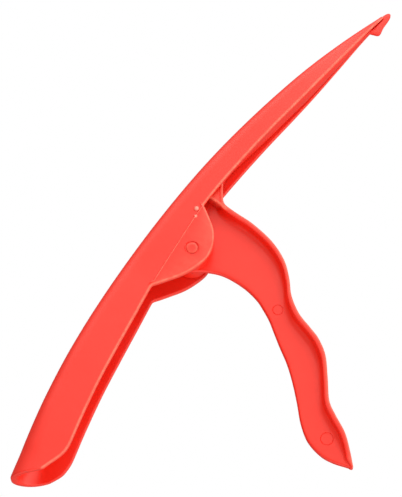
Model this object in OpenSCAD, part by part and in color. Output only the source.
// Peeling pliers for prawns and shrimps: a curved, tapering channel that is
// palm handle and outer jaw in one moulding, a trigger lever that carries the
// slim inner jaw in one moulding, and the pivot pin.
//
// Frame, millimetres: the tool lies on its side. Origin under the middle of
// its outline, on the surface it lies on; +X along the tool towards the jaw
// tip, +Y towards its curved back, +Z up along the pivot axis.
// Everything is drawn with the pivot at the origin, and place() shifts it.

/* [Channel body] */
// Pivot axis to the tip of the jaws
jaw_reach = 127.8; // [120:0.2:135]
// Pivot axis to the butt of the palm handle
handle_reach = 107.2; // [98:0.2:115]
// Width of the channel at the palm end
palm_width = 22.6; // [21:0.2:24]
// Width of the channel at the pivot
pivot_width = 18.8; // [17.6:0.2:21]
// Wall thickness of the channel
wall = 2.4; // [2:0.1:2.6]
// Step of the pivot ears out of the channel walls
ear_step = 0.25; // [0.1:0.05:0.5]

/* [Trigger and inner jaw] */
// Thickness of the middle web
web = 2.4; // [1.8:0.1:3]
// Thickness of the flange along the finger side
flange = 2.1; // [1.6:0.1:2.6]
// Half width of the flange at the pivot end
flange_half = 5.8; // [4.6:0.1:6]
// Radius of the hub round the pivot pin
hub_radius = 6; // [4.6:0.1:6.4]

/* [Pivot pin] */
// Diameter of the pivot pin
pin_diameter = 4.2; // [3.8:0.1:5]

/* [Hidden] */
$fn = 64;
run_gap = 0.05;   // radial gap of the turning fit
side_gap = 0.35;  // hub to the channel walls
jaw_gap = 0.85;   // jaw flange to the channel walls
pin_chamfer = 0.35;
pin_recess = 0.05;    // each pin end below the ear face
recess_depth = 0.55;  // round recess in each ear face, about the pin
recess_margin = 0.35;

// The curves are tabled at these design lengths, then stretched to the driving ones
butt_x = -107.2;
tip_x = 127.8;
barb_tip_x = 128.4;
handle_scale = handle_reach/-butt_x;
jaw_scale = jaw_reach/tip_x;
palm_scale = palm_width/22.6;
pivot_scale = pivot_width/18.8;
pin_radius = pin_diameter/2;
ear_span = pivot_width + 2*ear_step;
pivot_y = 38.8;  // pivot axis in the finished frame

// ---------- curve and section tools ----------
function stretch(x) = x < 0 ? x*handle_scale : x*jaw_scale;
function stretch_outline(points) = [for (p = points) [stretch(p.x), p.y]];
function reversed(list) = [for (i = [len(list)-1:-1:0]) list[i]];

// Smooth curve y(x) through knots [x, y] with rising x
function span_at(knots, x, i = 0) =
    (i >= len(knots)-2 || x <= knots[i+1].x) ? i : span_at(knots, x, i+1);
function slope(knots, i) =
    let(step = knots[min(len(knots)-1, i+1)] - knots[max(0, i-1)])
    step.y/step.x;
function smooth(knots, x) = let(
    i = span_at(knots, x),
    a = knots[i],
    b = knots[i+1],
    h = b.x - a.x,
    t = min(1, max(0, (x-a.x)/h)))
    (2*t*t*t - 3*t*t + 1)*a.y + (t*t*t - 2*t*t + t)*slope(knots, i)*h
    + (3*t*t - 2*t*t*t)*b.y + (t*t*t - t*t)*slope(knots, i+1)*h;

// Catmull-Rom chain through rows of any size, with a number of steps a span
function chain(rows, steps) = let(last = len(rows)-1) [
    for (i = [0:last-1]) for (j = [0:steps-1])
        let(t = j/steps, a = rows[max(0, i-1)], b = rows[i], c = rows[i+1],
            d = rows[min(last, i+2)])
        0.5*(2*b + (c-a)*t + (2*a-5*b+4*c-d)*t*t + (3*b-a-3*c+d)*t*t*t),
    rows[last]];

// Section from its +Z half, [distance along the direction, z], mirrored to -Z
function section(half, start, direction) =
    [for (p = concat(half, [for (q = reversed(half)) [q.x, -q.y]]))
        let(at = start + direction*p.x) [at.x, at.y, p.y]];

// Solid through rings of equal size; each ring is symmetric, so its end cap
// is a strip between its first half and its second
module skin(rings) {
    size = len(rings[0]);
    last = len(rings)-1;
    sides = [for (i = [0:last-1]) for (j = [0:size-1])
        let(a = i*size+j, b = i*size+(j+1)%size)
        each [[a, b, b+size], [a, b+size, a+size]]];
    caps = [for (end = [0, last]) for (j = [0:size/2-2])
        let(first = end*size, a = first+j, b = a+1, c = first+size-2-j, d = c+1)
        each (end == 0 ? [[a, c, b], [a, d, c]] : [[a, b, c], [a, c, d]])];
    polyhedron(points = [for (ring = rings) each ring], faces = concat(sides, caps));
}

// ---------- channel curves ----------
// [x, y] of the curved back
back_knots = [
    [butt_x,-0.4], [-88.3,5.1], [-69.6,9.6], [-52.4,12.8], [-32.4,15.4], [-9.5,17.2],
    [14.4,17.9], [37.7,17.3], [62.5,15], [86.2,11.5], [105.6,7.6], [118.6,4.2], [tip_x,1.4]];
// [x, y] of the open edge, without the ears
edge_knots = [
    [-99.6,-9.2], [-95.5,-10.4], [-92.3,-11.4], [-88.6,-11.8], [-84.5,-10.9], [-77.5,-8.9],
    [-61.5,-4.9], [-45.7,-1.8], [-32,0.7], [-20,2.9], [0,5.4], [15,7], [24,7.3], [34,7.15],
    [46,6.7], [58,6], [70,5], [82,4.1], [98.5,3.1], [116,2.05], [tip_x,0.75]];
// [x, y] of the lower edge of the pivot ears
ear_knots = [
    [-20.6,2.8], [-15.5,-0.6], [-9.5,-4.1], [-3,-6.3], [1.2,-6.7], [6.3,-5.2], [10.8,-1.8],
    [13.6,2.2], [16.6,7.2]];
// [x, outside width]
width_knots = [
    [butt_x,palm_width], [-84,22.42*palm_scale], [-58,21.3*palm_scale],
    [-20,19.1*pivot_scale], [0,pivot_width], [29,18*pivot_scale], [60,16.4*pivot_scale],
    [84,13.6], [96,10.8], [110,6.8], [122,4], [tip_x,2.8]];
// [x, wall thickness]
wall_knots = [[butt_x,wall], [58,wall-0.2], [96,1.6], [110,1.2], [tip_x,0.9]];
// [x, outside corner radius at the back]
round_knots = [
    [butt_x,10], [-95,7.4], [-80,5.6], [-60,4.8], [0,4.5], [60,4], [100,2.6], [122,1.4],
    [tip_x,1]];
// [x at the back, shift of the section's open edge towards +X]
lean_knots = [[butt_x,7.6], [-100,5.6], [-93,3], [-84,0.9], [-72,0], [tip_x,0]];

function edge_y(x) = smooth(edge_knots, x);
function in_ear(x) = x > ear_knots[0].x && x < ear_knots[len(ear_knots)-1].x;
function rim_y(x) = in_ear(x) ? min(edge_y(x), smooth(ear_knots, x)) : edge_y(x);
function half_width(x) = lookup(x, width_knots)/2;
function inner_half(x) = half_width(x) - lookup(x, wall_knots);

// ---------- channel ----------
// x of the sections at the back, closest together round the ears
stations = concat(
    [for (i = [0:27]) butt_x + i*3.08],
    [for (i = [0:39]) -21.4 + i*0.98],
    [for (i = [0:28]) 19 + i*(125.2-19)/28]);
corner_steps = 5;

// Outer or inner line of the U section at station x; depth runs from back to rim
function u_line(x, inner) = let(
    back = [x, smooth(back_knots, x)],
    edge_x = x + lookup(x, lean_knots),
    across = [edge_x, rim_y(edge_x)] - back,
    depth = norm(across),
    side_depth = min(norm([edge_x, edge_y(edge_x)] - back), depth-0.12),
    floor_t = min(lookup(x, wall_knots), depth*0.45),
    outer_r = min(lookup(x, round_knots), half_width(x)-0.05, depth-0.2),
    side = inner ? max(0.4, inner_half(x)) : half_width(x),
    r = inner ? max(0.08, min(outer_r-floor_t, side-0.05, depth-floor_t-0.2)) : outer_r,
    top = inner ? floor_t : 0,
    rim_side = side + (!inner && in_ear(edge_x) ? ear_step : 0),
    half = concat(
        [[depth, rim_side], [min(depth-0.04, side_depth+0.3), rim_side],
         [side_depth, side], [(top+r+side_depth)/2, side]],
        [for (k = [0:corner_steps]) let(a = 90*k/corner_steps)
            [top + r - r*sin(a), side - r + r*cos(a)]]))
    [for (p = section(half, back, across/depth)) [stretch(p.x), p.y, p.z]];

module channel_body() color([0.93, 0.2, 0.16]) difference() {
    skin([for (x = stations) concat(u_line(x, false), reversed(u_line(x, true)))]);
    cylinder(r = pin_radius + run_gap, h = 60, center = true);
    for (s = [0, 1]) mirror([0, 0, s])
        translate([0, 0, ear_span/2 - recess_depth])
            cylinder(r = pin_radius + recess_margin, h = 5);
}

// ---------- trigger lever and inner jaw, one moulding ----------
// Lever from its free end up: [flange face x, y, flange half width, web edge x, y]
lever_rows = [
    [-29.9,-95.5,1.55, -30.9,-94.5], [-25.8,-91,3, -32.9,-88.8],
    [-21.8,-85.8,4.2, -33.5,-83.5], [-18.8,-79.5,4.9, -32,-76.8],
    [-15.8,-74.5,5.2, -28,-70.8], [-9.2,-69,5.3, -22.6,-65.2],
    [-2.7,-63.3,5.4, -17.3,-59.3], [1,-57.5,5.5, -12.7,-53.4],
    [2.7,-52.2,5.5, -8.9,-47.2], [4.6,-45.9,5.6, -5.6,-42.1],
    [8.5,-39.7,5.6, -3,-38.1], [13.6,-34.9,5.7, -1,-34],
    [18.3,-29,5.7, 0.75,-29.5], [21.5,-20.9,5.8, 1.7,-22.9],
    [22.8,-11.5,5.8, 1.1,-14.9], [22.7,-5,5.8, -1.2,-9],
    [22.6,-0.6,5.8, -5.1,-3.4], [23.2,2.6,5.8, -8.4,2.2],
    [26,5.1,5.8, -8,8.4], [29.4,7.7,5.8, -3,12.6], [32.4,9.5,5.8, 8,14.1]];
// [x, y] of the jaw's flange face and of its web edge, towards the back
jaw_under_knots = [
    [32.4,9.5], [35.2,9.9], [45,8.8], [57,7.2], [69,5.8], [81,4.4], [98,3.05], [112,2.2],
    [117.2,1.55]];
jaw_top_knots = [
    [32.4,14.1], [45,13.4], [62.5,11.6], [86.2,8.5], [100,6.1], [112,3.9], [117.2,2.7]];
jaw_start = 35.2;
jaw_end = 117.2;
jaw_steps = 24;
fillet_steps = 4;

function jaw_half(x) =
    min(flange_half, inner_half(x) - lookup(x, [[85, jaw_gap], [110, side_gap]]));

// T sections: [flange face point, web edge point, flange half width, web half thickness]
lever_sections = [for (p = chain(lever_rows, 4))
    [[p[0] > 0 ? p[0]*jaw_scale : p[0], p[1]], [p[3], p[4]], p[2]*flange_half/5.8, web/2]];
jaw_sections = [for (i = [0:jaw_steps])
    let(x = jaw_start + i*(jaw_end-jaw_start)/jaw_steps,
        under = smooth(jaw_under_knots, x),
        top = max(under+0.6, smooth(jaw_top_knots, x)))
    [[stretch(x), under], [stretch(x), top], jaw_half(x), min(web/2, jaw_half(x)-0.3)]];

function t_ring(row) = let(
    across = row[1] - row[0],
    depth = norm(across),
    wide = row[2],
    thin = row[3],
    thick = min(flange, depth*0.4),
    bevel = min(0.45, (wide-thin)*0.25, thick*0.25),
    r = min(2.2, (wide-thin)*0.75, (depth-thick)*0.8),
    half = concat(
        [[0, wide-bevel], [bevel, wide],
         [thick-bevel*0.6-0.02, wide], [thick-0.02, wide-bevel*0.6]],
        [for (k = [0:fillet_steps]) let(a = 90*k/fillet_steps)
            [thick + r - r*cos(a), thin + r - r*sin(a)]],
        [[depth, thin]]))
    section(half, row[0], across/depth);

// Flat hooked end of the inner jaw
module barb() {
    thickness = 1.5;
    outline = concat(
        [for (x = [104:1.6:117]) [x, smooth(jaw_top_knots, x)-0.05]],
        [for (x = [119, 123, 125.1]) [x, edge_y(x)-0.16]],
        [[125.4,1.95], [127.8,1.2], [barb_tip_x,0.5], [127.7,-0.55], [126.4,-0.85],
         [124.6,-1], [122.6,-1.1], [121,-1.4], [119.6,-1.75], [118.6,-1.7], [118,-1.2],
         [117.5,-0.1], [117,1.3], [116.6,1.75]],
        [for (x = [116:-2:104]) [x, smooth(jaw_under_knots, x)+0.05]]);
    translate([0, 0, -thickness/2])
        linear_extrude(height = thickness) polygon(stretch_outline(outline));
}

// Solid neck behind the flange's bend
module neck() linear_extrude(height = 2*(flange_half-1.5), center = true)
    polygon(stretch_outline([[21.5,-1], [22.2,1.4], [22.9,3.4], [25.5,5.9], [28.9,8.5],
                             [31,10.3], [21.5,12.4]]));

// Stiffening rib: the lever's +X face carried on up
module rib() translate([21.3*jaw_scale, -2, -flange_half+0.3])
    cube([1.3, 15, 2*flange_half-0.6]);

// Ring-shaped sink marks of the two ejector pins, in the web's +Z face
module sink_marks() {
    ring_width = 0.45;
    for (mark = [[2.1, -38.3, 2.1], [-27.1, -81.8, 2.5]])  // [x, y, radius]
        translate([mark.x, mark.y, web/2-0.15]) difference() {
            cylinder(r = mark[2], h = 1);
            translate([0, 0, -1]) cylinder(r = mark[2]-ring_width, h = 3);
        }
}

module trigger_jaw() color([0.9, 0.16, 0.13]) difference() {
    union() {
        skin([for (row = concat(lever_sections, jaw_sections)) t_ring(row)]);
        barb();
        cylinder(r = hub_radius, h = 2*(inner_half(0)-side_gap), center = true);
        neck();
        rib();
    }
    cylinder(r = pin_radius + run_gap, h = 60, center = true);
    sink_marks();
}

// ---------- pivot pin ----------
module pivot_pin() color([0.93, 0.22, 0.18]) {
    end = ear_span/2 - pin_recess;
    rotate_extrude() polygon([
        [0, -end], [pin_radius-pin_chamfer, -end], [pin_radius, -end+pin_chamfer],
        [pin_radius, end-pin_chamfer], [pin_radius-pin_chamfer, end], [0, end]]);
}

// From the pivot's own frame to the finished frame
module place()
    translate([-(stretch(barb_tip_x) + stretch(butt_x))/2, pivot_y, max(palm_width, ear_span)/2])
        children();

place() channel_body();
place() trigger_jaw();
place() pivot_pin();
